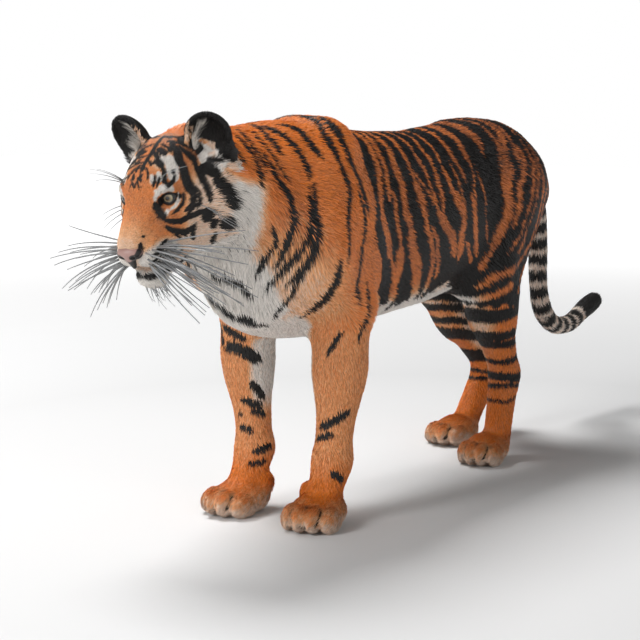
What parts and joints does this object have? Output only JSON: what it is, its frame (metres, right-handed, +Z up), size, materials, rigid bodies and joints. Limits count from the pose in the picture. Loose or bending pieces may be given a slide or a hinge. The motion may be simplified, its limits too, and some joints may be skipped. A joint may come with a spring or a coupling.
{
  "type": "tiger",
  "caption": "Standing tiger, a still life-size museum model: head carried low, weight on flat paws, tail hanging and curled up behind.",
  "frame": {"origin": "on the floor under the middle of the whole model's box", "axes": "+Z up, -Y ahead (the way the trunk faces), +X to the tiger's left"},
  "size_m": [0.398, 1.8959, 0.8142],
  "materials": {
    "striped_fur": "short orange fur with black stripes, pale below",
    "paw_fur": "short dense orange fur, whitish over the toes",
    "tail_fur": "dense fur ringed black and cream",
    "chin_fur": "soft white fur",
    "ear_fur": "short black fur, long pale hairs inside",
    "nose": "bare pink skin with a fine grain",
    "eye": "wet, clear over a yellow-green iris"
  },
  "bodies": {
    "root": {"barrel": "striped_fur", "chest": "striped_fur", "croup": "striped_fur", "neck": "striped_fur", "head": "striped_fur", "lower_jaw": "chin_fur", "nose": "nose", "ear_left": "ear_fur", "ear_right": "ear_fur", "eye_left": "eye", "eye_right": "eye", "tail_base": "tail_fur", "tail_upper": "tail_fur", "tail_bend": "tail_fur", "tail_tip": "tail_fur", "shoulder_left": "striped_fur", "forearm_left": "striped_fur", "forepaw_left": "paw_fur", "shoulder_right": "striped_fur", "forearm_right": "striped_fur", "forepaw_right": "paw_fur", "thigh_left": "striped_fur", "shank_left": "striped_fur", "hind_foot_left": "striped_fur", "hindpaw_left": "paw_fur", "thigh_right": "striped_fur", "shank_right": "striped_fur", "hind_foot_right": "striped_fur", "hindpaw_right": "paw_fur"}
  },
  "joints": []
}
